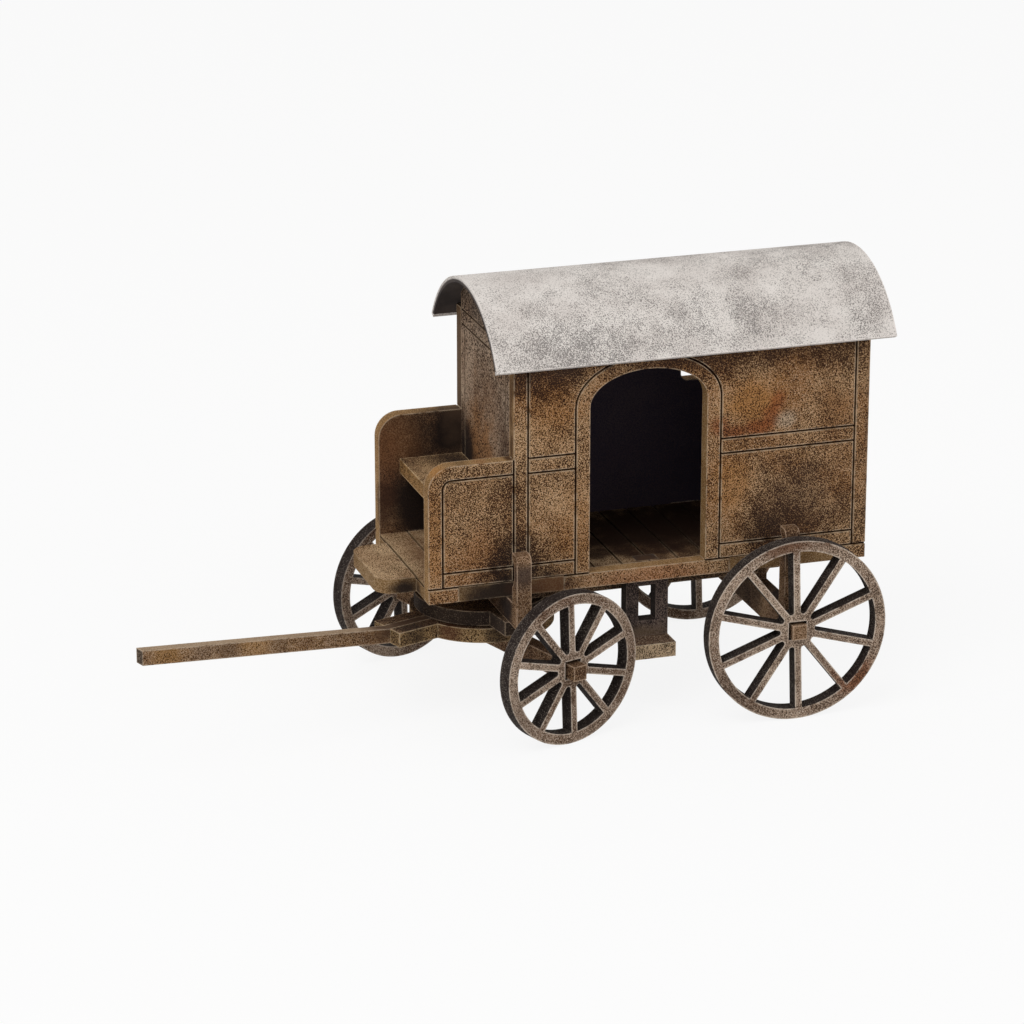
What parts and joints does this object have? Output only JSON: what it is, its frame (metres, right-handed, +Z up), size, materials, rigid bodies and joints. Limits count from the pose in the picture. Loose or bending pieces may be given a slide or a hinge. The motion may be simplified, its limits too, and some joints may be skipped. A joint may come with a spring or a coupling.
{
  "type": "model horse-drawn caravan wagon",
  "caption": "Small laser-cut sheet model of a horse-drawn caravan wagon with an arched roof, open side doorway, step, spoked wheels and a front gear with a pole that turns on a king pin.",
  "frame": {"origin": "centre of the overall box on the ground, with the front gear at its rest turn", "axes": "+X forward along the wagon, +Y to the wagon's left, +Z up"},
  "size_m": [0.1036, 0.0458, 0.0584],
  "materials": {
    "wall_mdf": "matte painted fibreboard, stippled and dry-brushed",
    "floor_mdf": "matte painted fibreboard, worn",
    "gear_mdf": "matte dark brown fibreboard with burnt edges",
    "wheel_mdf": "matte dry-brushed fibreboard with burnt edges",
    "roof_card": "matte painted card with grey stipple"
  },
  "bodies": {
    "wagon": {"floor": "floor_mdf", "side_wall_left": "wall_mdf", "side_wall_right": "wall_mdf", "front_wall": "wall_mdf", "rear_wall": "wall_mdf", "roof": "roof_card", "seat_board": "floor_mdf", "rear_axle": "gear_mdf", "front_bolster": "gear_mdf", "upper_turntable": "gear_mdf", "king_pin": "gear_mdf", "step_frame": "gear_mdf", "step_tread": "gear_mdf", "chassis_rail_left": "gear_mdf", "chassis_rail_right": "gear_mdf", "rear_wheel_left": "wheel_mdf", "rear_wheel_right": "wheel_mdf"},
    "front_gear": {"lower_turntable": "gear_mdf", "pole": "gear_mdf", "front_axle": "gear_mdf", "front_wheel_left": "wheel_mdf", "front_wheel_right": "wheel_mdf"}
  },
  "joints": [
    {"name": "front_gear_turn", "type": "hinge", "parent": "wagon", "child": "front_gear", "pos_m": [0.00099, 0, 0.0134], "axis": [0, 0, 1], "range_deg": [-45, 2]}
  ]
}
